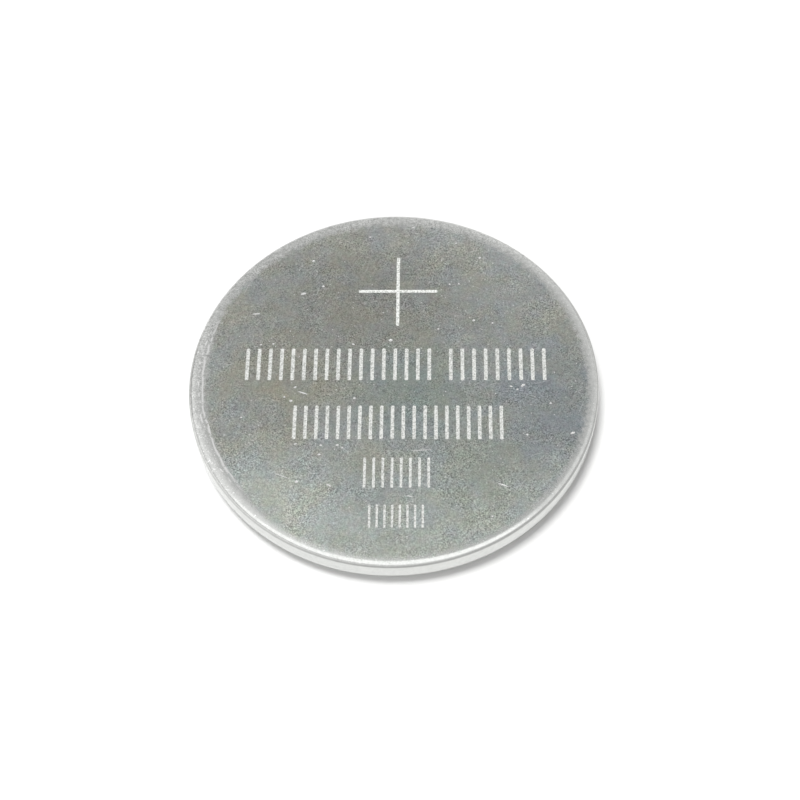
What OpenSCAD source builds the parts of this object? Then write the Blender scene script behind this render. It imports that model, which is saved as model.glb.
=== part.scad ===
// Lithium coin cell, standing on its negative face with the positive face up.
// Origin: centre of the resting face. Lengths are in millimetres.
// Each ring, cup and disc is a section, drawn in radius and height, revolved round the upright axis.

/* [Cell] */
// Outside diameter
cell_d = 20; // [12:0.5:30]
// Height over both contact faces
cell_h = 2; // [1.6:0.1:5]

/* [Positive can] */
// Thickness of the can's sheet
can_t = 0.25; // [0.15:0.01:0.3]
// Outside radius of the bend between the face and the wall
can_corner_r = 0.35; // [0.32:0.01:0.6]
// Radius of the gentle roll-off round the flat face
face_roll_r = 1.2; // [0.8:0.1:2]
// Angle that the crimped rim turns, from the wall round the gasket
crimp_angle = 105; // [91:1:120]
// Height of the crimped rim above the resting face
crimp_lift = 0.12; // [0.05:0.01:0.25]

/* [Negative cap] */
// Thickness of the cap's sheet
cap_t = 0.25; // [0.15:0.01:0.3]
// Outside radius of the bend round the contact face
cap_corner_r = 0.45; // [0.32:0.01:0.5]
// Width of the shoulder, from the contact face's wall to the outside of the skirt
cap_shoulder_w = 1; // [0.8:0.05:2]
// Outside radius of the hollow bend between the wall and the shoulder
cap_hollow_r = 0.1; // [0.04:0.01:0.12]
// Inside radius of the bend between the shoulder and the skirt
cap_skirt_r = 0.1; // [0.04:0.01:0.2]

/* [Gasket] */
// Thickness of the gasket between the can and the cap
gasket_t = 0.3; // [0.2:0.01:0.4]
// Thickness of the lip inside the cap's skirt
gasket_lip_t = 0.25; // [0.15:0.01:0.4]
// Gap between the gasket's visible edge and the cap's wall
gasket_edge_gap = 0.05; // [0.02:0.01:0.15]

/* [Lithium anode] */
// Thickness of the lithium disc
anode_t = 0.36; // [0.1:0.01:0.6]
// Clearance from the lithium disc to the edge of the cap's flat floor
anode_gap = 0.3; // [0.05:0.05:1.5]

/* [Separator] */
// Thickness of the separator
separator_t = 0.18; // [0.05:0.01:0.3]
// Clearance from the separator to the cap's wall
separator_gap = 0.1; // [0.05:0.01:0.5]
// Inside radius of the separator's fold
separator_fold_r = 0.06; // [0.02:0.01:0.1]
// Height of the turned-up rim above the separator's floor
separator_rim_h = 0.5; // [0.15:0.01:0.7]

/* [Cathode pellet] */
// Clearance from the pellet to the separator's rim
pellet_gap = 0.05; // [0.02:0.01:0.5]
// Bevel along both edges of the pellet
pellet_bevel = 0.12; // [0.1:0.01:0.3]

/* [Collector grid] */
// Thickness of the expanded sheet
grid_t = 0.12; // [0.05:0.01:0.2]
// Distance from the grid's edge to the pellet's edge
grid_margin = 0.5; // [0.1:0.1:3]
// Long way of one mesh, from knot to knot
mesh_long = 2.2; // [1.6:0.1:4]
// Short way of one mesh, from knot to knot
mesh_short = 1.3; // [1:0.1:2.6]
// Width of one strand
strand_w = 0.25; // [0.1:0.01:0.4]
// Width of the unbroken edge round the meshes
grid_rim_w = 0.25; // [0.1:0.05:1]

/* [Hidden] */
$fn = 96;

cell_r = cell_d / 2;

// Inside of the can
can_in_r = cell_r - can_t;
can_in_z = cell_h - can_t;

// Square to the face where the roll-off ends and the tight bend takes over: a slope of 7 in 24
roll_end = [7, 24] / 25;
roll_end_angle = atan2(roll_end[1], roll_end[0]);

// Centres of these two bends, in line with their meeting point
roll_to_corner = (face_roll_r - can_corner_r) * roll_end;
corner_centre = [cell_r - can_corner_r, cell_h - face_roll_r + roll_to_corner[1]];
roll_centre = corner_centre - roll_to_corner;

// The crimp, the gasket and the cap's skirt bend are nested round one centre
cap_bend_r = cap_skirt_r + cap_t;
gasket_bend_r = cap_bend_r + gasket_t;
crimp_r = gasket_bend_r + can_t;
closure = [cell_r - crimp_r, crimp_lift + crimp_r];

// Cap, from the skirt inwards
skirt_r = can_in_r - gasket_t;
skirt_in_r = skirt_r - cap_t;
skirt_top = can_in_z - gasket_t;
shoulder_z = closure[1] - cap_bend_r;
cap_wall_r = skirt_r - cap_shoulder_w;
cap_wall_in_r = cap_wall_r - cap_t;
hollow_centre = [cap_wall_r + cap_hollow_r, shoulder_z - cap_hollow_r];
cap_corner_centre = [cap_wall_r - cap_corner_r, cap_corner_r];

// Discs stacked on the cap's floor, up to the inside of the can
anode_r = cap_corner_centre[0] - anode_gap;
anode_top = cap_t + anode_t;
separator_r = cap_wall_in_r - separator_gap;
separator_in_r = separator_r - separator_t;
separator_top = anode_top + separator_t;
fold_centre = [separator_in_r - separator_fold_r, separator_top + separator_fold_r];
pellet_r = separator_in_r - pellet_gap;
grid_z = can_in_z - grid_t;
grid_r = pellet_r - grid_margin;

// Half the opening that the strands leave in a mesh, the long way and the short way
mesh_open = 1 - strand_w * norm([1 / mesh_long, 1 / mesh_short]);
open_long = mesh_open * mesh_long / 2;
open_short = mesh_open * mesh_short / 2;
mesh_columns = ceil(grid_r / mesh_long);
mesh_rows = ceil(grid_r / mesh_short);

// Rectangle between two corners of a section
module span(low, high) {
    translate(low) square(high - low);
}

// Point at an angle and a distance from a centre
function polar(centre, r, angle) = centre + r * [cos(angle), sin(angle)];

// Slice of a disc between two angles less than half a turn apart
module slice(centre, r, from, to) {
    reach = 2 * r;
    intersection() {
        translate(centre) circle(r);
        polygon([
            centre,
            polar(centre, reach, from),
            polar(centre, reach, (from + to) / 2),
            polar(centre, reach, to)
        ]);
    }
}

// Bent sheet: what a slice keeps outside the inner radius
module bend(centre, r_in, r_out, from, to) {
    difference() {
        slice(centre, r_out, from, to);
        translate(centre) circle(r_in);
    }
}

// Rim of the can, rolled in round the gasket
module crimp_section() {
    bend(closure, gasket_bend_r, crimp_r, -crimp_angle, 0);
}

// Filled block under the roll-off and the tight bend, inset from the outside of the can
module rounded_block(inset) {
    span([0, 0], [roll_centre[0], cell_h - inset]);
    span([0, 0], [cell_r - inset, corner_centre[1]]);
    slice(roll_centre, face_roll_r - inset, roll_end_angle, 90);
    translate(corner_centre) circle(can_corner_r - inset);
}

// Can: face, roll-off, tight bend and wall as one shell, and the crimped rim below it
module can_section() {
    difference() {
        rounded_block(0);
        rounded_block(can_t);
        span([0, 0], [cell_r, closure[1]]);
    }
    crimp_section();
}

// Cap: contact face, its bend and wall, hollow bend, shoulder, skirt bend and skirt
module cap_section() {
    span([0, 0], [cap_corner_centre[0], cap_t]);
    bend(cap_corner_centre, cap_corner_r - cap_t, cap_corner_r, -90, 0);
    span([cap_wall_in_r, cap_corner_centre[1]], [cap_wall_r, hollow_centre[1]]);
    bend(hollow_centre, cap_hollow_r, cap_hollow_r + cap_t, 90, 180);
    span([hollow_centre[0], shoulder_z], [closure[0], shoulder_z + cap_t]);
    bend(closure, cap_skirt_r, cap_bend_r, -90, 0);
    span([skirt_in_r, closure[1]], [skirt_r, skirt_top]);
}

// Head of the gasket: it fills the can's corner, down to where the crimp starts
module gasket_head() {
    intersection() {
        span([skirt_in_r - gasket_lip_t, closure[1]], [cell_r, cell_h]);
        rounded_block(can_t);
    }
}

// Foot of the gasket: its bend under the cap's shoulder and the ledge that shows from below
module gasket_foot() {
    bend(closure, cap_bend_r, gasket_bend_r, -90, 0);
    span([cap_wall_r + gasket_edge_gap, shoulder_z - gasket_t], [closure[0], shoulder_z]);
}

module positive_can() {
    color("silver") rotate_extrude() can_section();
}

module negative_cap() {
    color("lightgray") rotate_extrude() cap_section();
}

module gasket() {
    color("ivory") rotate_extrude() difference() {
        union() {
            gasket_head();
            gasket_foot();
        }
        cap_section();
        crimp_section();
    }
}

module lithium_anode() {
    color("gainsboro") translate([0, 0, cap_t]) cylinder(r = anode_r, h = anode_t);
}

// Cupped sheet: floor, fold and rim
module separator() {
    color("white") rotate_extrude() {
        span([0, anode_top], [fold_centre[0], separator_top]);
        bend(fold_centre, separator_fold_r, separator_fold_r + separator_t, -90, 0);
        span([separator_in_r, fold_centre[1]], [separator_r, separator_top + separator_rim_h]);
    }
}

// Pressed tablet with both edges bevelled
module cathode_pellet() {
    color("dimgray") rotate_extrude() polygon([
        [0, separator_top],
        [pellet_r - pellet_bevel, separator_top],
        [pellet_r, separator_top + pellet_bevel],
        [pellet_r, grid_z - pellet_bevel],
        [pellet_r - pellet_bevel, grid_z],
        [0, grid_z]
    ]);
}

// True where a mesh at this place stays inside the unbroken edge
function mesh_fits(place) =
    let (
        long_tip = norm([abs(place[0]) + open_long, place[1]]),
        short_tip = norm([place[0], abs(place[1]) + open_short])
    )
    max(long_tip, short_tip) <= grid_r - grid_rim_w;

// Diamond opening between four strands
module mesh_opening() {
    polygon([[open_long, 0], [0, open_short], [-open_long, 0], [0, -open_short]]);
}

// Expanded sheet: every second row of diamonds is shifted by half a mesh
module collector_grid() {
    color("darkgray") translate([0, 0, grid_z]) linear_extrude(grid_t) difference() {
        circle(grid_r);
        for (column = [-mesh_columns : mesh_columns], row = [-mesh_rows : mesh_rows], half = [0, 1 / 2]) {
            place = [(column + half) * mesh_long, (row + half) * mesh_short];
            if (mesh_fits(place)) translate(place) mesh_opening();
        }
    }
}

positive_can();
negative_cap();
gasket();
cathode_pellet();
collector_grid();
separator();
lithium_anode();
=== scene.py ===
"""Looks of the lithium coin cell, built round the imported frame.

The can, the cap and the gasket get fine meshes of the same form as their solids, with what those leave
out: etched marks, nicks, scratches and rounded cut edges. The discs sealed inside keep their solids and get
materials.
Lengths are in millimetres, up to the point where a mesh is made.
"""

import math

import bpy
from mathutils import Matrix, Vector
from mathutils.geometry import delaunay_2d_cdt


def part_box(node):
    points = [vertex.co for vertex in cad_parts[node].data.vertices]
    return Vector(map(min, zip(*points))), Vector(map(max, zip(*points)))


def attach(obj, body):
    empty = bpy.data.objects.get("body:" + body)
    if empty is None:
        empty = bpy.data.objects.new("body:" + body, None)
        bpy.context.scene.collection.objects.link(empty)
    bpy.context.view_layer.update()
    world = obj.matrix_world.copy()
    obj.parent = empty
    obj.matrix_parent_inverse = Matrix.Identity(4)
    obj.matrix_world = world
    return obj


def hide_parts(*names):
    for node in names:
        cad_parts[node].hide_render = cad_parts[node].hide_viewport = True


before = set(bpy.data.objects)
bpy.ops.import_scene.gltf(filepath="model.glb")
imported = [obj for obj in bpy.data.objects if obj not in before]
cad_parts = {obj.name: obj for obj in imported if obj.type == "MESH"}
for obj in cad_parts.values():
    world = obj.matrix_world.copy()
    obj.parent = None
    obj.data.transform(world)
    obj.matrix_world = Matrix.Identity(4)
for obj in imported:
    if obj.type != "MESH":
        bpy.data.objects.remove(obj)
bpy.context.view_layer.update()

MM = 0.001

# Points closer than this, in millimetres, are one point
TINY = 1e-5

# Outside sizes, from the frame
CAN_LOW, CAN_HIGH = (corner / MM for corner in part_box("positive_can"))
CAP_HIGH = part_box("negative_cap")[1] / MM
CELL_R = CAN_HIGH.x
CELL_H = CAN_HIGH.z
SKIRT_R = CAP_HIGH.x
SKIRT_TOP = CAP_HIGH.z

# Sheets and bends, as in the part's source
SHEET_T = 0.25
CORNER_R = 0.35
ROLL_R = 1.2
CRIMP_ANGLE = 105
CAP_CORNER_R = 0.45
CAP_SHOULDER_W = 1
CAP_HOLLOW_R = 0.1
CAP_SKIRT_R = 0.1
GASKET_T = 0.3
GASKET_LIP_T = 0.25
GASKET_EDGE_GAP = 0.05

# Square to the face where the gentle roll-off hands over to the tight bend
ROLL_END = Vector((7, 24)) / 25
ROLL_END_ANGLE = math.degrees(math.atan2(ROLL_END.y, ROLL_END.x))
CORNER_C = Vector((CELL_R - CORNER_R, CELL_H - ROLL_R + (ROLL_R - CORNER_R) * ROLL_END.y))
ROLL_C = CORNER_C - (ROLL_R - CORNER_R) * ROLL_END

# Crimp, gasket and skirt bends are nested round one centre
CAP_BEND_R = CAP_SKIRT_R + SHEET_T
GASKET_BEND_R = CAP_BEND_R + GASKET_T
CRIMP_R = GASKET_BEND_R + SHEET_T
CLOSURE = Vector((CELL_R - CRIMP_R, CAN_LOW.z + CRIMP_R))
SHOULDER_Z = CLOSURE.y - CAP_BEND_R
CAP_WALL_R = SKIRT_R - CAP_SHOULDER_W
CAP_CORNER_C = Vector((CAP_WALL_R - CAP_CORNER_R, CAP_CORNER_R))
HOLLOW_C = Vector((CAP_WALL_R + CAP_HOLLOW_R, SHOULDER_Z - CAP_HOLLOW_R))

# Flat face that carries the marks, inside the ring where the turned shell begins
FACE_R = 9.3
SEGMENTS = 256

# Angles between the points of a section's bends, in degrees: most bends, the can's outside, its inside, and
# small radii
BEND_STEP = 5
ROLL_STEP, CORNER_STEP = 1.5, 3.5
ROLL_STEP_IN, CORNER_STEP_IN = 3, 12
SMALL_STEP, EDGE_STEP = 10, 15

# Points added on a section's straight stretches: how far from the ends, and how far apart at most
GUARD = 0.04
LONGEST = 0.6

# Edges that turn more than this, in degrees, are shaded sharp
SHARP_ANGLE = 30

# Radii of the cut edges
CAN_CUT_R = 0.05
CAP_CUT_R = 0.04
GASKET_EDGE_R = 0.05

# What a stretch of the face is like, which is also its material's place in the can's slots
WORN, ETCHED, FRESH = range(3)

# Etched marks and nicks. The rounding of a stroke's corners is a share of its width.
ETCH_DEPTH = 0.015
ETCH_SLOPE = 0.02
MARK_ROUNDING = 0.3
ROUND_POINTS = 5
NICK_POINTS = 12
PLUS_AT = (0.17, 5.13)
PLUS_SPAN = (3.95, 4.13)
PLUS_STROKE = 0.165


# Sections


def polar(centre, radius, angle):
    """Point at an angle in degrees and a distance from a centre."""
    a = math.radians(angle)
    return (centre[0] + radius * math.cos(a), centre[1] + radius * math.sin(a))


def arc(centre, radius, start, end, step=BEND_STEP):
    """Points along a bend of a section, from one angle to the other."""
    count = max(2, math.ceil(abs(end - start) / step))
    return [polar(centre, radius, start + (end - start) * k / count) for k in range(count + 1)]


def supported(path, closed):
    """The path with points added on its long straight stretches, close to their ends and between them."""
    out = []
    following = path[1:] + (path[:1] if closed else [])
    for a, b in zip(path, following):
        a, b = Vector(a), Vector(b)
        length = (b - a).length
        out.append(a)
        if length > 3 * GUARD:
            between = length - 2 * GUARD
            count = max(1, math.ceil(between / LONGEST))
            for k in range(count + 1):
                out.append(a + (b - a) * (GUARD + between * k / count) / length)
    if not closed:
        out.append(Vector(path[-1]))
    return out


def without_repeats(path):
    """The path without points that fall on the one before."""
    out = [path[0]]
    for p in path[1:]:
        if (Vector(p) - Vector(out[-1])).length > TINY:
            out.append(p)
    return out


def can_path():
    """Section of the can, from the ring round the marked face, over the outside, to the axis inside."""
    crimp_out = polar(CLOSURE, CRIMP_R, -CRIMP_ANGLE)
    crimp_in = polar(CLOSURE, GASKET_BEND_R, -CRIMP_ANGLE)
    across = (Vector(crimp_in) - Vector(crimp_out)).normalized()
    turn = math.degrees(CAN_CUT_R / CRIMP_R)
    outer = arc(CLOSURE, CRIMP_R, 0, -CRIMP_ANGLE + turn)
    inner = arc(CLOSURE, GASKET_BEND_R, -CRIMP_ANGLE + turn * 0.5, 0)
    cut = [
        Vector(polar(CLOSURE, CRIMP_R - CAN_CUT_R * 0.3, -CRIMP_ANGLE + turn * 0.3)),
        Vector(crimp_out) + across * CAN_CUT_R,
        Vector(crimp_in) - across * CAN_CUT_R * 0.5,
    ]
    path = [(FACE_R, CELL_H)]
    path += arc(ROLL_C, ROLL_R, 90, ROLL_END_ANGLE, ROLL_STEP)
    path += arc(CORNER_C, CORNER_R, ROLL_END_ANGLE, 0, CORNER_STEP)
    path += outer + cut + inner
    path += arc(CORNER_C, CORNER_R - SHEET_T, 0, ROLL_END_ANGLE, CORNER_STEP_IN)
    path += arc(ROLL_C, ROLL_R - SHEET_T, ROLL_END_ANGLE, 90, ROLL_STEP_IN)
    path += [(0, CELL_H - SHEET_T)]
    return without_repeats(path)


def cap_path():
    """Section of the cap, from the axis above, over the skirt, to the axis below."""
    cut_z = SKIRT_TOP - CAP_CUT_R
    path = [(0, 0)]
    path += arc(CAP_CORNER_C, CAP_CORNER_R, -90, 0)
    path += arc(HOLLOW_C, CAP_HOLLOW_R, 180, 90, SMALL_STEP)
    path += arc(CLOSURE, CAP_BEND_R, -90, 0)
    path += arc((SKIRT_R - CAP_CUT_R, cut_z), CAP_CUT_R, 0, 90, EDGE_STEP)
    path += arc((SKIRT_R - SHEET_T + CAP_CUT_R, cut_z), CAP_CUT_R, 90, 180, EDGE_STEP)
    path += arc(CLOSURE, CAP_SKIRT_R, 0, -90, SMALL_STEP)
    path += arc(HOLLOW_C, CAP_HOLLOW_R + SHEET_T, 90, 180)
    path += arc(CAP_CORNER_C, CAP_CORNER_R - SHEET_T, 0, -90, SMALL_STEP)
    path += [(0, SHEET_T)]
    return without_repeats(path[::-1])


def gasket_path():
    """Section of the gasket: outside from the head to the ledge, then back along the shoulder and skirt."""
    lip_r = SKIRT_R - SHEET_T - GASKET_LIP_T
    ledge_r = CAP_WALL_R + GASKET_EDGE_GAP
    ledge_z = SHOULDER_Z - GASKET_T
    crimp_in = Vector(polar(CLOSURE, GASKET_BEND_R, -CRIMP_ANGLE))
    crimp_out = Vector(polar(CLOSURE, CRIMP_R, -CRIMP_ANGLE))
    bite = crimp_in + (crimp_out - crimp_in) * (crimp_in.y - ledge_z) / (crimp_in.y - crimp_out.y)
    path = [(lip_r, CELL_H - SHEET_T)]
    path += arc(ROLL_C, ROLL_R - SHEET_T, 90, ROLL_END_ANGLE, ROLL_STEP_IN)
    path += arc(CORNER_C, CORNER_R - SHEET_T, ROLL_END_ANGLE, 0, CORNER_STEP_IN)
    path += arc(CLOSURE, GASKET_BEND_R, 0, -CRIMP_ANGLE)
    path += [tuple(bite)]
    path += arc((ledge_r + GASKET_EDGE_R, ledge_z + GASKET_EDGE_R), GASKET_EDGE_R, -90, -180, EDGE_STEP)
    path += [(ledge_r, SHOULDER_Z)]
    path += arc(CLOSURE, CAP_BEND_R, -90, 0)
    path += [(SKIRT_R, SKIRT_TOP), (SKIRT_R - SHEET_T, SKIRT_TOP)]
    path += [(SKIRT_R - SHEET_T, CLOSURE.y), (lip_r, CLOSURE.y)]
    return without_repeats(path)


# Meshes


def revolved(path, closed):
    """Vertices and faces of a section turned round the axis."""
    verts, rings, faces = [], [], []
    for r, z in supported(path, closed):
        if r < TINY:
            rings.append([len(verts)] * SEGMENTS)
            verts.append((0, 0, z))
            continue
        rings.append(list(range(len(verts), len(verts) + SEGMENTS)))
        for k in range(SEGMENTS):
            a = 2 * math.pi * k / SEGMENTS
            verts.append((r * math.cos(a), r * math.sin(a), z))
    for lower, upper in zip(rings, rings[1:] + (rings[:1] if closed else [])):
        for k in range(SEGMENTS):
            j = (k + 1) % SEGMENTS
            corners = list(dict.fromkeys((lower[k], upper[k], upper[j], lower[j])))
            if len(corners) > 2:
                faces.append(corners)
    return verts, faces


def piece(name, verts, faces, kinds=None, materials=()):
    """A mesh object from millimetres, smooth except at sharp edges."""
    mesh = bpy.data.meshes.new(name)
    mesh.from_pydata([tuple(c * MM for c in v) for v in verts], [], faces)
    for material in materials:
        mesh.materials.append(material)
    if kinds:
        mesh.polygons.foreach_set("material_index", kinds)
    mesh.shade_smooth()
    mesh.set_sharp_from_angle(angle=math.radians(SHARP_ANGLE))
    mesh.validate()
    obj = bpy.data.objects.new(name, mesh)
    bpy.context.scene.collection.objects.link(obj)
    return obj


# Outlines of a nick, from the outside in: size, share of the depth, and what is inside
NICK_RINGS = ((1.3, 0, WORN), (1, 0, FRESH), (0.55, 0.8, FRESH), (0.2, 1, FRESH))


class Face:
    """The flat marked face while it is laid out: its points, their heights and the outlines through them."""

    def __init__(self):
        self.points, self.heights, self.outlines, self.kinds = [], [], [], []

    def outline(self, points, height=0.0, kind=WORN):
        """Adds a closed outline at one height below the face, and says what its inside is like."""
        first = len(self.points)
        self.points += [Vector(p[:2]) for p in points]
        self.heights += [height] * len(points)
        self.outlines.append(list(range(first, len(self.points))))
        self.kinds.append(kind)

    def mark(self, corners, stroke):
        """Etches a shape with square corners, given counterclockwise, to its sloping edge and flat floor."""
        floor_stroke = stroke - 2 * ETCH_SLOPE
        self.outline(rounded(corners, MARK_ROUNDING * stroke), 0.0, ETCHED)
        floor_corners = rounded(inset(corners, ETCH_SLOPE), MARK_ROUNDING * floor_stroke)
        self.outline(floor_corners, -ETCH_DEPTH, ETCHED)

    def nick(self, x, y, length, width, angle, depth):
        """Sinks a small oval dent, ringed by flat points that keep its shading to itself."""
        for scale, share, kind in NICK_RINGS:
            self.outline(oval(x, y, length * scale, width * scale, angle), -share * depth, kind)

    def triangles(self):
        """Vertices, triangles and material numbers of the finished face."""
        verts, _, faces, source, _, inside = delaunay_2d_cdt(self.points, [], self.outlines, 0, TINY, True)
        heights = [self.heights[s[0]] if s else 0.0 for s in source]
        kinds = [max(self.kinds[k] for k in group) for group in inside]
        return [(v.x, v.y, CELL_H + h) for v, h in zip(verts, heights)], faces, kinds


def inset(corners, distance):
    """Corners of a shape with square corners, moved inwards."""
    out = []
    for before, here, after in zip(corners[-1:] + corners[:-1], corners, corners[1:] + corners[:1]):
        along_in = (Vector(here) - Vector(before)).normalized()
        along_out = (Vector(after) - Vector(here)).normalized()
        left_in, left_out = Vector((-along_in.y, along_in.x)), Vector((-along_out.y, along_out.x))
        out.append(Vector(here) + distance * (left_in + left_out))
    return out


def rounded(corners, radius):
    """The shape with its outer corners cut round."""
    out = []
    corners = [Vector(c) for c in corners]
    for before, here, after in zip(corners[-1:] + corners[:-1], corners, corners[1:] + corners[:1]):
        to_before, to_after = (before - here).normalized(), (after - here).normalized()
        if to_after.cross(to_before) < 0:
            out.append(here)
            continue
        centre = here + radius * (to_before + to_after)
        start = math.degrees(math.atan2(-to_after.y, -to_after.x))
        for k in range(ROUND_POINTS):
            out.append(Vector(polar(centre, radius, start + 90 * k / (ROUND_POINTS - 1))))
    return out


def oval(x, y, length, width, angle):
    """Points round an oval."""
    turn = Matrix.Rotation(math.radians(angle), 2)
    ring = []
    for k in range(NICK_POINTS):
        a = 2 * math.pi * k / NICK_POINTS
        ring.append(Vector((x, y)) + turn @ Vector((length / 2 * math.cos(a), width / 2 * math.sin(a))))
    return ring


def bar(left, bottom, right, top):
    """Corners of an upright rectangle."""
    return [(left, bottom), (right, bottom), (right, top), (left, top)]


def plus_sign():
    """Corners of the plus sign, counterclockwise from the foot of its upright."""
    x, y = PLUS_AT
    h, v, t = PLUS_SPAN[0] / 2, PLUS_SPAN[1] / 2, PLUS_STROKE / 2
    return [
        (x - t, y - v), (x + t, y - v), (x + t, y - t), (x + h, y - t), (x + h, y + t), (x + t, y + t),
        (x + t, y + v), (x - t, y + v), (x - t, y + t), (x - h, y + t), (x - h, y - t), (x - t, y - t),
    ]


# Bands of upright strokes where the photograph has lettering: left and right end, foot, head and stroke
BANDS = (
    (-7.25, 1.84, -0.1, 1.72, 0.18),
    (2.71, 7.45, -0.1, 1.72, 0.18),
    (-4.8, 5.3, -3.4, -1.54, 0.17),
    (-1.36, 1.8, -6.0, -4.4, 0.13),
    (-1.08, 1.52, -8.1, -6.9, 0.11),
)

# Distance from one stroke to the next, in widths of a stroke
STROKE_PITCH = 3.0

# Nicks, most of them where the photograph has one: x, y, length, width, angle, depth
NICKS = (
    (-4.15, 7.0, 0.16, 0.1, 20, 0.02),
    (-4.58, 4.99, 0.3, 0.12, 15, 0.02),
    (-3.6, 5.44, 0.14, 0.1, 0, 0.018),
    (-0.16, 2.21, 0.2, 0.14, 10, 0.025),
    (-6.88, 3.78, 0.4, 0.08, 5, 0.008),
    (4.3, 7.19, 0.12, 0.12, 0, 0.015),
    (3.95, 3.38, 0.14, 0.12, 0, 0.018),
    (4.88, 3.23, 0.1, 0.1, 0, 0.012),
    (2.19, 2.87, 0.1, 0.1, 0, 0.012),
    (2.76, 5.56, 0.1, 0.08, 0, 0.012),
    (3.22, 5.58, 0.1, 0.08, 0, 0.012),
    (0.91, 9.1, 0.2, 0.08, 30, 0.01),
    (6.3, -0.39, 0.25, 0.12, 30, 0.02),
    (8.6, -3.05, 0.24, 0.12, 20, 0.02),
    (6.43, -3.14, 0.12, 0.1, 0, 0.015),
    (5.23, -5.85, 0.6, 0.06, -22, 0.012),
    (4.7, -7.49, 0.12, 0.08, 0, 0.012),
    (1.4, -3.99, 1.0, 0.04, 2, 0.006),
    (-1.87, -1.12, 0.14, 0.1, 0, 0.015),
    (-4.94, -1.27, 0.16, 0.12, 0, 0.012),
    (-4.38, -0.82, 0.5, 0.07, -20, 0.01),
    (-3.41, -3.73, 0.12, 0.1, 0, 0.012),
    (-3.47, -4.23, 0.16, 0.1, 0, 0.015),
    (-4.48, -5.69, 0.16, 0.13, 0, 0.02),
    (-5.13, -5.41, 0.8, 0.035, -22, 0.005),
    (-2.95, -5.88, 0.3, 0.07, -30, 0.01),
    (-4.77, -0.5, 0.16, 0.09, 30, 0.012),
    (-5.27, -1.05, 0.1, 0.08, 0, 0.012),
    (-6.57, 1.95, 0.14, 0.07, 15, 0.01),
    (-5.95, 2.0, 0.12, 0.09, 40, 0.012),
    (-2.0, 1.98, 0.16, 0.08, -25, 0.012),
    (-4.62, -3.66, 0.18, 0.07, 10, 0.01),
    (-2.62, -3.72, 0.16, 0.1, 0, 0.012),
    (-2.38, -3.86, 0.1, 0.08, 0, 0.01),
    (5.72, -0.45, 0.16, 0.09, -20, 0.012),
    (6.02, -0.62, 0.11, 0.08, 0, 0.012),
    (0.85, -6.45, 0.34, 0.05, -18, 0.006),
    (7.6, -1.4, 0.12, 0.1, 0, 0.012),
    (-7.3, -2.2, 0.12, 0.08, 20, 0.01),
    (3.1, 8.1, 0.14, 0.07, 15, 0.01),
    (-1.3, 8.5, 0.12, 0.08, 0, 0.01),
)


def marked_face():
    """The flat face with its marks and nicks, out to the ring that the shell shares."""
    face = Face()
    face.outline([polar((0, 0), FACE_R, 360 * k / SEGMENTS) for k in range(SEGMENTS)])
    face.mark(plus_sign(), PLUS_STROKE)
    for left, right, foot, head, stroke in BANDS:
        count = round((right - left) / (stroke * STROKE_PITCH))
        for k in range(count):
            x = left + (right - left - stroke) * k / (count - 1)
            face.mark(bar(x, foot, x + stroke, head), stroke)
    for nick in NICKS:
        face.nick(*nick)
    return face.triangles()


def can_shell(materials):
    """The can: the turned shell joined to the marked face along their common ring."""
    verts, faces = revolved(can_path(), closed=False)
    kinds = [WORN] * len(faces)
    top_verts, top_faces, top_kinds = marked_face()
    at = {}
    for k in range(SEGMENTS):
        at[tuple(round(c, 4) for c in verts[k][:2])] = k
    index = []
    for v in top_verts:
        known = at.get(tuple(round(c, 4) for c in v[:2]))
        if known is None:
            known = len(verts)
            verts.append(v)
        index.append(known)
    for corners, kind in zip(top_faces, top_kinds):
        faces.append([index[c] for c in corners])
        kinds.append(kind)
    return piece("can_shell", verts, faces, kinds, materials)


# Materials


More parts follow.
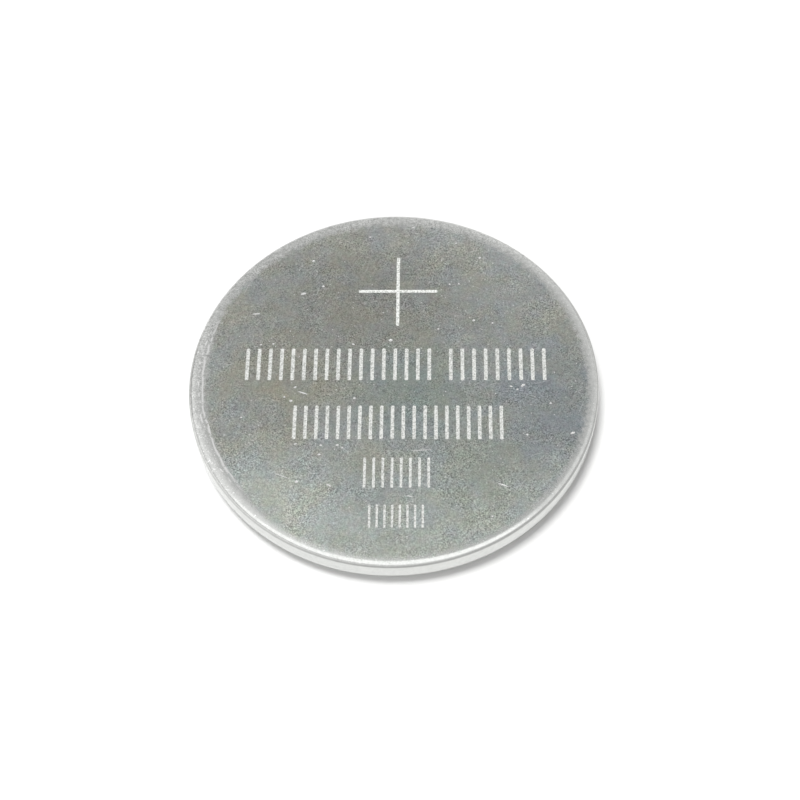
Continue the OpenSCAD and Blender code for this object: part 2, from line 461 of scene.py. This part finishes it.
class Nodes:
    """Short calls for one material's nodes. Lengths inside it are in millimetres."""

    def __init__(self, name):
        self.material = bpy.data.materials.new(name)
        self.material.use_nodes = True
        self.tree = self.material.node_tree
        self.shader = self.tree.nodes["Principled BSDF"]
        place = self.new("ShaderNodeTexCoord").outputs["Object"]
        scale = self.new("ShaderNodeVectorMath", operation="SCALE")
        scale.inputs["Scale"].default_value = 1 / MM
        self.tree.links.new(place, scale.inputs[0])
        self.place = scale.outputs[0]

    def new(self, kind, **settings):
        node = self.tree.nodes.new(kind)
        for key, value in settings.items():
            setattr(node, key, value)
        return node

    def put(self, value, socket):
        """Links a socket or sets a value."""
        if isinstance(value, bpy.types.NodeSocket):
            self.tree.links.new(value, socket)
        else:
            socket.default_value = value

    def math(self, operation, a, b=0.0):
        node = self.new("ShaderNodeMath", operation=operation)
        self.put(a, node.inputs[0])
        self.put(b, node.inputs[1])
        return node.outputs[0]

    def split(self):
        """The place's x, y and z."""
        node = self.new("ShaderNodeSeparateXYZ")
        self.put(self.place, node.inputs[0])
        return node.outputs

    def distance(self, x, y):
        """How far apart two places are that differ by x and y."""
        squares = self.math("MULTIPLY", x, x), self.math("MULTIPLY", y, y)
        return self.math("SQRT", self.math("ADD", *squares))

    def radius(self):
        """Distance from the cell's axis."""
        x, y, _ = self.split()
        return self.distance(x, y)

    def step(self, value, low, high):
        """Smooth step from 0 at low to 1 at high."""
        node = self.new("ShaderNodeMapRange", interpolation_type="SMOOTHSTEP")
        self.put(value, node.inputs["Value"])
        node.inputs["From Min"].default_value = min(low, high)
        node.inputs["From Max"].default_value = max(low, high)
        node.inputs["To Min"].default_value = 0.0 if low < high else 1.0
        node.inputs["To Max"].default_value = 1.0 if low < high else 0.0
        return node.outputs["Result"]

    def noise(self, size, detail=2.0, roughness=0.5, shift=0.0, stretch=(1, 1, 1), turn=0.0):
        """Noise of about this size, from 0 to 1, in places that a shift makes its own."""
        mapping = self.new("ShaderNodeMapping", vector_type="TEXTURE")
        self.put(self.place, mapping.inputs["Vector"])
        mapping.inputs["Location"].default_value = (shift, 2 * shift, 3 * shift)
        mapping.inputs["Rotation"].default_value = (0, 0, math.radians(turn))
        mapping.inputs["Scale"].default_value = [size * s for s in stretch]
        node = self.new("ShaderNodeTexNoise")
        self.put(mapping.outputs[0], node.inputs["Vector"])
        node.inputs["Scale"].default_value = 1.0
        node.inputs["Detail"].default_value = detail
        node.inputs["Roughness"].default_value = roughness
        return node.outputs["Fac"]

    def spot(self, x, y, size):
        """A soft round spot on the face: 1 at its middle, 0 at its edge."""
        px, py, _ = self.split()
        far = self.distance(self.math("SUBTRACT", px, x), self.math("SUBTRACT", py, y))
        return self.step(far, size, 0)

    def range(self, value, low, high):
        """The value's 0 to 1 stretched from low to high."""
        return self.math("ADD", self.math("MULTIPLY", value, high - low), low)

    def mix(self, factor, a, b, blend="MIX"):
        """A colour between two others, at 0 the first and at 1 the second."""
        node = self.new("ShaderNodeMix", data_type="RGBA", blend_type=blend)
        self.put(factor, node.inputs["Factor"])
        for value, key in ((a, 6), (b, 7)):
            self.put(value if isinstance(value, bpy.types.NodeSocket) else (*value, 1.0), node.inputs[key])
        return node.outputs[2]

    def mix_value(self, factor, a, b):
        """A number between two others, at 0 the first and at 1 the second."""
        node = self.new("ShaderNodeMix", data_type="FLOAT")
        self.put(factor, node.inputs["Factor"])
        self.put(a, node.inputs[2])
        self.put(b, node.inputs[3])
        return node.outputs[0]

    def scaled(self, colour, factor):
        """The colour times a factor that may be a socket."""
        node = self.new("ShaderNodeVectorMath", operation="SCALE")
        self.put(colour, node.inputs[0])
        self.put(factor, node.inputs["Scale"])
        return node.outputs[0]

    def bump(self, height, depth):
        """Bumps of this depth where the height goes from 0 to 1."""
        node = self.new("ShaderNodeBump")
        node.inputs["Distance"].default_value = depth * MM
        self.put(height, node.inputs["Height"])
        self.tree.links.new(node.outputs[0], self.shader.inputs["Normal"])

    def finish(self, colour, roughness, metallic=1.0):
        """Sets what every material has, and hands the material over."""
        if not isinstance(colour, bpy.types.NodeSocket):
            colour = (*colour, 1.0)
        self.put(colour, self.shader.inputs["Base Color"])
        self.put(roughness, self.shader.inputs["Roughness"])
        self.shader.inputs["Metallic"].default_value = metallic
        return self.material


def grain(n):
    """Fine tone grain of handled metal, round 1."""
    strength = n.range(n.step(n.noise(1.4, 2.0, shift=14), 0.3, 0.7), 0.45, 1.15)
    fine = n.math("MULTIPLY", n.range(n.noise(0.055, 0.0), -0.78, 0.78), strength)
    coarse = n.range(n.noise(0.14, 1.0, shift=5), 0.8, 1.2)
    cloud = n.range(n.noise(0.9, 3.0, 0.6, shift=9), 0.82, 1.18)
    return n.math("MULTIPLY", n.math("MULTIPLY", n.math("ADD", fine, 1.0), coarse), cloud)


def scuffs(n):
    """Short fine scratches in three directions, in patches, and scattered bright specks: 1 where one is."""
    turns = (-24, 14, 68)
    lines = [n.noise(0.5, 1.0, shift=81 + k, stretch=(2.4, 0.1, 1), turn=a) for k, a in enumerate(turns)]
    lines = n.step(n.math("MAXIMUM", n.math("MAXIMUM", lines[0], lines[1]), lines[2]), 0.7, 0.78)
    lines = n.math("MULTIPLY", lines, n.step(n.noise(1.6, 2.0, shift=85), 0.42, 0.58))
    specks = n.math("MULTIPLY", n.step(n.noise(0.1, 0.0, shift=87), 0.765, 0.84), 0.9)
    return n.math("MAXIMUM", n.math("MULTIPLY", lines, 0.6), specks)


def on_left(n, x, y):
    """1 along the left edge, a little more of it in front than at the back."""
    return n.step(n.math("ADD", x, n.math("MULTIPLY", y, 0.25)), -7.2, -8.9)


def worn_rim(n, r, place):
    """1 where the face's dull coat is worn away: along the edge, further in at the back and on the left."""
    x, y, _ = place
    lean = n.math("ADD", n.math("MULTIPLY", y, 0.022), n.math("MULTIPLY", on_left(n, x, y), 0.3))
    wobble = n.range(n.noise(0.22, 3.0, 0.7, shift=17), -0.4, 0.4)
    return n.step(n.math("ADD", n.math("ADD", r, lean), wobble), 9.15, 9.75)


def scuffed_line(n, r, place):
    """Broken bright lines along the inside of the worn rim, on the left, and scratches beside them."""
    x, y, z = place
    r = n.math("ADD", r, n.range(n.noise(1.1, 2.0, shift=92), -0.16, 0.16))
    inner = n.math("MULTIPLY", n.step(r, 9.22, 9.28), n.step(r, 9.37, 9.31))
    outer = n.math("MULTIPLY", n.step(r, 9.42, 9.47), n.step(r, 9.55, 9.5))
    inner = n.math("MULTIPLY", inner, n.step(n.noise(0.3, 3.0, 0.65, shift=91), 0.36, 0.46))
    outer = n.math("MULTIPLY", outer, n.step(n.noise(0.5, 2.0, shift=94), 0.52, 0.6))
    beside = n.math("MULTIPLY", n.step(r, 9.3, 9.4), n.step(n.noise(0.09, 1.0, shift=93), 0.6, 0.72))
    marks = n.math("MAXIMUM", n.math("MAXIMUM", inner, outer), beside)
    marks = n.math("MULTIPLY", marks, n.step(y, -6.6, -5.0))
    return n.math("MULTIPLY", marks, n.math("MULTIPLY", on_left(n, x, y), n.step(z, 1.72, 1.84)))


# Broad stains on the dull coat, under and over the paler front, whose paleness is painted sheen: x, y,
# reach, strength and colour. The pale ones over it along the front and lower left are painted sheen as well.
STAINS_UNDER = (
    (8, -1.5, 6.5, 0.8, (0.315, 0.34, 0.355)),
    (-1.6, 4.2, 8.5, 0.8, (0.325, 0.32, 0.29)),
    (0.9, -0.7, 4.4, 0.7, (0.305, 0.355, 0.33)),
    (-5.4, 0.2, 4.2, 0.85, (0.385, 0.375, 0.315)),
)
STAINS_AND_SHEEN_OVER = (
    # Pale patches along the front and lower left: painted sheen
    (-1.6, -5.8, 3.6, 0.6, (0.41, 0.43, 0.405)),
    (-6.5, -5.8, 3.6, 0.5, (0.53, 0.57, 0.535)),
    (-5, -7.5, 4.5, 0.7, (0.61, 0.635, 0.595)),
    (3.8, -5, 4, 0.6, (0.37, 0.41, 0.385)),
    (4.5, 8.8, 4.5, 0.6, (0.49, 0.50, 0.475)),
)


def spotted(n, colour, stains):
    """The colour with soft round patches over it: stains, and painted sheen where a list holds it."""
    for x, y, reach, strength, stain in stains:
        colour = n.mix(n.math("MULTIPLY", n.spot(x, y, reach), strength), colour, stain)
    return colour


def tinted(n, colour):
    """The colour with faint thin-film tints that come and go, fine, broad and in between."""
    fine = n.noise(0.3, 2.0, shift=71)
    broad = n.step(n.noise(1.3, 2.0, shift=72), 0.35, 0.65)
    film = n.step(n.noise(0.5, 2.0, 0.6, shift=75), 0.3, 0.7)
    for place, one, other in (
        (fine, (1.05, 0.98, 0.965), (0.95, 1.02, 1.03)),
        (broad, (0.97, 0.998, 1.035), (1.01, 1.01, 0.96)),
        (film, (1.015, 0.988, 1.01), (0.985, 1.018, 0.985)),
    ):
        colour = n.mix(1.0, colour, n.mix(place, one, other), "MULTIPLY")
    return colour


def dull_coat_and_sheen(n, y):
    """Colour of the dull face: stained, paler at its back edge, and paler at its front and lower left from
    painted sheen.
    """
    cloud = n.step(n.noise(2.2, 3.0, 0.55, shift=2), 0.35, 0.65)
    colour = n.mix(cloud, (0.425, 0.428, 0.396), (0.40, 0.42, 0.418))
    colour = spotted(n, colour, STAINS_UNDER)
    # Paler towards the front: painted sheen
    colour = n.mix(n.step(y, -3.0, -8.5), colour, (0.51, 0.54, 0.51))
    colour = spotted(n, colour, STAINS_AND_SHEEN_OVER)
    colour = n.mix(n.math("MULTIPLY", n.step(y, 6.3, 9.3), 0.7), colour, (0.46, 0.465, 0.45))
    return tinted(n, colour)


def handled_rim(n, place):
    """1 where the worn rim is rough from handling: at the back and on both sides, less on the right."""
    x, y, z = place
    around = n.math("MULTIPLY", n.step(y, -5.5, -1.0), n.range(n.step(x, 9.4, 6.0), 0.25, 1.0))
    return n.math("MULTIPLY", around, n.step(z, 1.66, 1.76))


def painted_shoulder_shade(n, place):
    """Factor for the dark lines on the shoulder, all painted shade: one over the wall, standing in for a
    mirrored dark band, and one along the edge at the back and the left.
    """
    x, y, z = place
    height = n.math("SUBTRACT", z, n.math("MULTIPLY", n.math("MAXIMUM", x, 0.0), 0.007))
    # Painted reflection: a dark band just over the wall, where the shoulder mirrors a dark band of the room
    rubbed_and_shaded_band = n.math("MULTIPLY", n.step(height, 1.64, 1.69), n.step(height, 1.81, 1.76))
    line = n.mix_value(rubbed_and_shaded_band, 1.0, n.range(n.step(x, -9.0, 0.0), 0.85, 0.57))
    # Painted shade along the shoulder's edge at the back and on the left
    at_back = n.math("MULTIPLY", n.step(y, -1.0, 4.0), n.step(x, -11.5, -6.5))
    at_back = n.math("MULTIPLY", at_back, n.step(z, 1.66, 1.7))
    at_left = n.math("MULTIPLY", n.step(y, -3.0, -0.5), n.step(x, -9.3, -9.7))
    at_left = n.math("MULTIPLY", at_left, n.step(z, 1.7, 1.76))
    painted_edge_shade = n.math("MULTIPLY", n.math("MAXIMUM", at_back, at_left), n.step(z, 1.93, 1.9))
    return n.math("MULTIPLY", line, n.mix_value(painted_edge_shade, 1.0, 0.66))


def can_metal():
    """Nickel-plated steel: a dull stained face with painted sheen, a worn rim with painted dark lines on its
    shoulder, and a clean wall.
    """
    n = Nodes("can_metal")
    r = n.radius()
    place = x, y, z = n.split()
    face = n.math("MULTIPLY", n.step(worn_rim(n, r, place), 1.0, 0.0), n.step(z, 1.6, 1.75))
    handled = handled_rim(n, place)
    rim = n.mix(n.noise(0.25, 3.0, 0.6, shift=4), (0.55, 0.56, 0.545), (0.74, 0.745, 0.73))
    pitted = n.range(n.noise(0.2, 2.0, 0.6, shift=19), 0.6, 1.4)
    rim = n.scaled(rim, n.mix_value(handled, 1.0, pitted))
    grained = n.math("MAXIMUM", face, n.math("MULTIPLY", handled, 0.5))
    colour = n.scaled(n.mix(face, rim, dull_coat_and_sheen(n, y)), n.mix_value(grained, 1.0, grain(n)))
    colour = n.mix(n.math("MULTIPLY", scuffs(n), n.step(z, 1.8, 1.9)), colour, (0.85, 0.86, 0.85))
    colour = n.mix(scuffed_line(n, r, place), colour, (0.95, 0.95, 0.94))
    # Painted shade: dark lines on the shoulder
    colour = n.scaled(colour, painted_shoulder_shade(n, place))
    dull = n.range(n.noise(1.4, 3.0, shift=6), 0.34, 0.44)
    rough = n.mix_value(face, n.range(n.noise(0.5, 3.0, shift=3), 0.1, 0.26), dull)
    n.bump(n.noise(0.09, 2.0, shift=7), 0.004)
    return n.finish(colour, rough)


def etched_metal():
    """Frosted floor of the etched marks."""
    n = Nodes("etched_metal")
    speckle = n.step(n.noise(0.09, 2.0, 0.75, shift=1), 0.34, 0.6)
    colour = n.mix(speckle, (0.5, 0.515, 0.485), (0.89, 0.9, 0.875))
    colour = n.scaled(colour, n.range(n.step(n.split()[1], 2.0, 3.0), 0.92, 1.05))
    n.bump(n.noise(0.05, 2.0, shift=3), 0.01)
    return n.finish(colour, n.range(speckle, 0.5, 0.7), 0.5)


def fresh_metal():
    """Bare metal in the nicks and scratches."""
    n = Nodes("fresh_metal")
    bright = n.noise(0.08, 2.0, shift=8)
    return n.finish(n.mix(bright, (0.84, 0.84, 0.83), (0.97, 0.97, 0.96)), n.range(bright, 0.2, 0.35))


def cap_metal():
    """Satin nickel of the cap."""
    n = Nodes("cap_metal")
    cloud = n.noise(1.8, 3.0, shift=11)
    colour = n.mix(cloud, (0.58, 0.585, 0.565), (0.68, 0.68, 0.66))
    colour = n.scaled(colour, n.mix_value(0.45, 1.0, grain(n)))
    colour = n.mix(n.math("MULTIPLY", scuffs(n), 0.7), colour, (0.8, 0.8, 0.79))
    r = n.math("ADD", n.radius(), n.range(n.noise(0.8, 3.0, 0.6, shift=15), -0.35, 0.35))
    rubbed_and_shaded_band = n.math("MULTIPLY", n.step(r, 5.2, 5.8), n.step(r, 7.0, 6.4))
    turned = n.range(n.noise(0.5, 3.0, shift=16, stretch=(0.3, 3, 1)), 0.2, 0.9)
    colour = n.mix(n.math("MULTIPLY", rubbed_and_shaded_band, n.math("MULTIPLY", turned, 0.5)), colour, (0.76, 0.76, 0.745))
    n.bump(n.noise(0.12, 3.0, shift=12), 0.003)
    return n.finish(colour, n.range(n.noise(0.6, 3.0, shift=13), 0.24, 0.36))


def gasket_plastic():
    """Natural polypropylene, milky and a little translucent."""
    n = Nodes("gasket_plastic")
    colour = n.mix(n.noise(1.2, 3.0, shift=21), (0.66, 0.68, 0.62), (0.74, 0.755, 0.70))
    n.shader.inputs["Subsurface Weight"].default_value = 0.3
    n.shader.inputs["Subsurface Radius"].default_value = (0.4, 0.4, 0.35)
    n.shader.inputs["Subsurface Scale"].default_value = MM
    n.bump(n.noise(0.1, 2.0, shift=22), 0.004)
    return n.finish(colour, n.range(n.noise(0.4, 2.0, shift=23), 0.38, 0.52), 0.0)


def cathode_mix():
    """Pressed manganese dioxide and graphite powder."""
    n = Nodes("cathode_mix")
    grains = n.noise(0.12, 3.0, 0.65, shift=31)
    colour = n.mix(n.step(grains, 0.35, 0.7), (0.028, 0.028, 0.030), (0.075, 0.073, 0.072))
    n.bump(grains, 0.02)
    return n.finish(colour, n.range(n.noise(0.2, 2.0, shift=32), 0.62, 0.85), 0.0)


def collector_metal():
    """Expanded and flattened steel."""
    n = Nodes("collector_metal")
    brushed = n.noise(0.3, 3.0, shift=41, stretch=(6, 0.4, 1))
    colour = n.mix(brushed, (0.46, 0.46, 0.45), (0.60, 0.60, 0.585))
    n.bump(brushed, 0.003)
    return n.finish(colour, n.range(brushed, 0.26, 0.42))


def separator_sheet():
    """Non-woven polypropylene: crossing fibres."""
    n = Nodes("separator_sheet")
    turns = (12, 71, 133)
    fibres = [n.noise(0.12, 2.0, shift=50 + k, stretch=(9, 0.7, 1), turn=a) for k, a in enumerate(turns)]
    web = n.math("MAXIMUM", n.math("MAXIMUM", fibres[0], fibres[1]), fibres[2])
    web = n.step(web, 0.45, 0.75)
    colour = n.mix(web, (0.70, 0.70, 0.68), (0.86, 0.86, 0.84))
    n.bump(web, 0.02)
    return n.finish(colour, n.range(web, 0.85, 0.65), 0.0)


def lithium_metal():
    """Rolled lithium foil, dulled by a thin skin."""
    n = Nodes("lithium_metal")
    rolled = n.noise(0.4, 3.0, shift=61, stretch=(5, 0.5, 1), turn=8)
    skin = n.step(n.noise(1.5, 4.0, 0.6, shift=62), 0.4, 0.7)
    colour = n.mix(skin, (0.62, 0.63, 0.65), (0.47, 0.475, 0.49))
    n.bump(rolled, 0.004)
    return n.finish(colour, n.math("ADD", n.range(rolled, 0.28, 0.42), n.math("MULTIPLY", skin, 0.15)))


# Stage

# Camera, fitted to the outline in the photograph. Angles in degrees.
CAMERA_AZIMUTH = 2.5
CAMERA_ELEVATION = 59.22
CAMERA_ROLL = -2.15
CAMERA_DISTANCE = 81.32
CAMERA_TARGET = (0.341, -1.224, 2.0)
CAMERA_LENS = 75.74
SENSOR_W = 36


def camera():
    """The camera at the photograph's viewing angle."""
    az, el, roll = (math.radians(a) for a in (CAMERA_AZIMUTH, CAMERA_ELEVATION, CAMERA_ROLL))
    back = Vector((math.sin(az) * math.cos(el), -math.cos(az) * math.cos(el), math.sin(el)))
    level = Vector((math.cos(az), math.sin(az), 0))
    up = back.cross(level)
    right = math.cos(roll) * level + math.sin(roll) * up
    up = math.cos(roll) * up - math.sin(roll) * level
    data = bpy.data.cameras.new("camera")
    data.sensor_fit = "HORIZONTAL"
    data.sensor_width = SENSOR_W
    data.lens = CAMERA_LENS
    data.clip_start = MM
    data.clip_end = 10
    obj = bpy.data.objects.new("camera", data)
    bpy.context.scene.collection.objects.link(obj)
    turn = Matrix((right, up, back)).transposed().to_4x4()
    place = (Vector(CAMERA_TARGET) + CAMERA_DISTANCE * back) * MM
    obj.matrix_world = Matrix.Translation(place) @ turn
    bpy.context.scene.camera = obj


def seen(n, glossy=True):
    """1 for rays that show the background: from the camera, through glass and, if asked, off gloss."""
    path = n.new("ShaderNodeLightPath")
    mask = n.math("MAXIMUM", path.outputs["Is Camera Ray"], path.outputs["Is Transmission Ray"])
    return n.math("MAXIMUM", mask, path.outputs["Is Glossy Ray"]) if glossy else mask


# Floor: its size in metres, its colour, how much it glows far off, and from where to where, in millimetres
FLOOR_SIZE = 3.0
FLOOR_COLOUR = (0.86, 0.86, 0.855)
FLOOR_GLOW = 0.7
GLOW_FROM, GLOW_TO = 60, 500

# Light that dull surfaces get from all round, and how much of it comes from the rest and from the front left
AMBIENT = 0.48
AMBIENT_REST, AMBIENT_LEFT = 0.9, 2.2

# What the camera sees behind the cell
WHITE = 1.0

# How bright the dome mirrored in the metal is: overhead, low down, on the two sides and in the softboxes
OVERHEAD = 0.68
LOW_LEFT, LOW_RIGHT = 0.7, 0.86
SIDE_LEFT, SIDE_RIGHT = 1.12, 1.0
SOFTBOX = 1.52

# Key lamp: place and size in metres, and power in watts
KEY_PLACE = (-0.07, -0.02, 0.52)
KEY_SIZE = 0.17
KEY_POWER = 2.07


def floor():
    """White table. Far off it glows where it shows, so that it stays white beyond the lamp's reach."""
    half = FLOOR_SIZE / 2
    mesh = bpy.data.meshes.new("floor")
    corners = [(x, y, 0) for x, y in bar(-half, -half, half, half)]
    mesh.from_pydata(corners, [], [(0, 1, 2, 3)])
    obj = bpy.data.objects.new("floor", mesh)
    bpy.context.scene.collection.objects.link(obj)
    n = Nodes("floor_white")
    n.shader.inputs["Specular IOR Level"].default_value = 0.0
    n.shader.inputs["Emission Color"].default_value = (1, 1, 1, 1)
    glow = n.math("MULTIPLY", n.step(n.radius(), GLOW_FROM, GLOW_TO), FLOOR_GLOW)
    n.put(n.math("MULTIPLY", seen(n), glow), n.shader.inputs["Emission Strength"])
    mesh.materials.append(n.finish(FLOOR_COLOUR, 1.0, 0.0))


class Sky(Nodes):
    """The same short calls for the world, where the place is a direction."""

    def __init__(self):
        world = bpy.data.worlds.new("studio")
        bpy.context.scene.world = world
        world.use_nodes = True
        self.tree = world.node_tree
        self.place = self.new("ShaderNodeTexCoord").outputs["Generated"]

    def towards(self, x, y, z):
        """Cosine of the angle between a direction and the ray."""
        node = self.new("ShaderNodeVectorMath", operation="DOT_PRODUCT")
        self.put(self.place, node.inputs[0])
        node.inputs[1].default_value = Vector((x, y, z)).normalized()
        return node.outputs["Value"]


def studio():
    """Soft studio dome: grey overhead, paler at the sides, with softboxes in front and on the left.

    Glossy surfaces show the dome, dull ones get an even light with more of it from the front left, and the
    camera sees white.
    """
    n = Sky()
    z = n.split()[2]
    low = n.mix_value(n.step(n.towards(-1, 0, 0), 0.3, -0.3), LOW_LEFT, LOW_RIGHT)
    level = n.mix_value(n.step(z, 0.5, 0.9), low, OVERHEAD)
    glow = n.math("MULTIPLY", n.step(n.towards(-0.9, -0.45, 0.35), 0.15, 0.75), n.step(z, 0.0, 0.5))
    level = n.mix_value(glow, level, SIDE_LEFT)
    level = n.mix_value(n.step(n.towards(0.85, -0.25, 0.6), 0.78, 0.95), level, SIDE_RIGHT)
    left = n.step(n.towards(-0.62, -0.55, 0.5), 0.82, 0.93)
    front = n.step(n.towards(0.12, -0.9, 0.45), 0.52, 0.78)
    softbox = n.math("MULTIPLY", n.math("MAXIMUM", left, front), n.step(z, 0.1, 0.45))
    level = n.mix_value(softbox, level, SOFTBOX)
    glossy = n.new("ShaderNodeLightPath").outputs["Is Glossy Ray"]
    from_left = n.step(n.towards(-1, -1, 0), 0.1, 0.9)
    ambient = n.mix_value(from_left, AMBIENT_REST * AMBIENT, AMBIENT_LEFT * AMBIENT)
    level = n.mix_value(glossy, ambient, level)
    level = n.mix_value(seen(n, glossy=False), level, WHITE)
    background = n.tree.nodes["Background"]
    background.inputs["Color"].default_value = (1, 1, 1, 1)
    n.put(level, background.inputs["Strength"])


def key_light():
    """Large soft lamp overhead, a little to the left and in front, which no surface mirrors."""
    data = bpy.data.lights.new("key", "AREA")
    data.shape = "DISK"
    data.size = KEY_SIZE
    data.energy = KEY_POWER
    obj = bpy.data.objects.new("key", data)
    bpy.context.scene.collection.objects.link(obj)
    obj.visible_glossy = False
    place = Vector(KEY_PLACE)
    obj.location = place
    obj.rotation_mode = "QUATERNION"
    obj.rotation_quaternion = place.to_track_quat("Z", "Y")


def lamps_and_look():
    """Plain colours, the studio dome and the key lamp."""
    bpy.context.scene.view_settings.view_transform = "Standard"
    studio()
    key_light()


# The cell


def dressed(obj, node):
    """Makes the piece stand for its node."""
    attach(obj, "root")
    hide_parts(node)


def repaint(node, material):
    """Gives a node that stays its own material."""
    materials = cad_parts[node].data.materials
    materials.clear()
    materials.append(material)


camera()
lamps_and_look()
floor()

shell = can_shell([can_metal(), etched_metal(), fresh_metal()])
dressed(shell, "positive_can")
cap = piece("cap_shell", *revolved(cap_path(), closed=False), materials=[cap_metal()])
dressed(cap, "negative_cap")
ring = piece("gasket_ring", *revolved(gasket_path(), closed=True), materials=[gasket_plastic()])
dressed(ring, "gasket")

repaint("cathode_pellet", cathode_mix())
repaint("collector_grid", collector_metal())
repaint("separator", separator_sheet())
repaint("lithium_anode", lithium_metal())
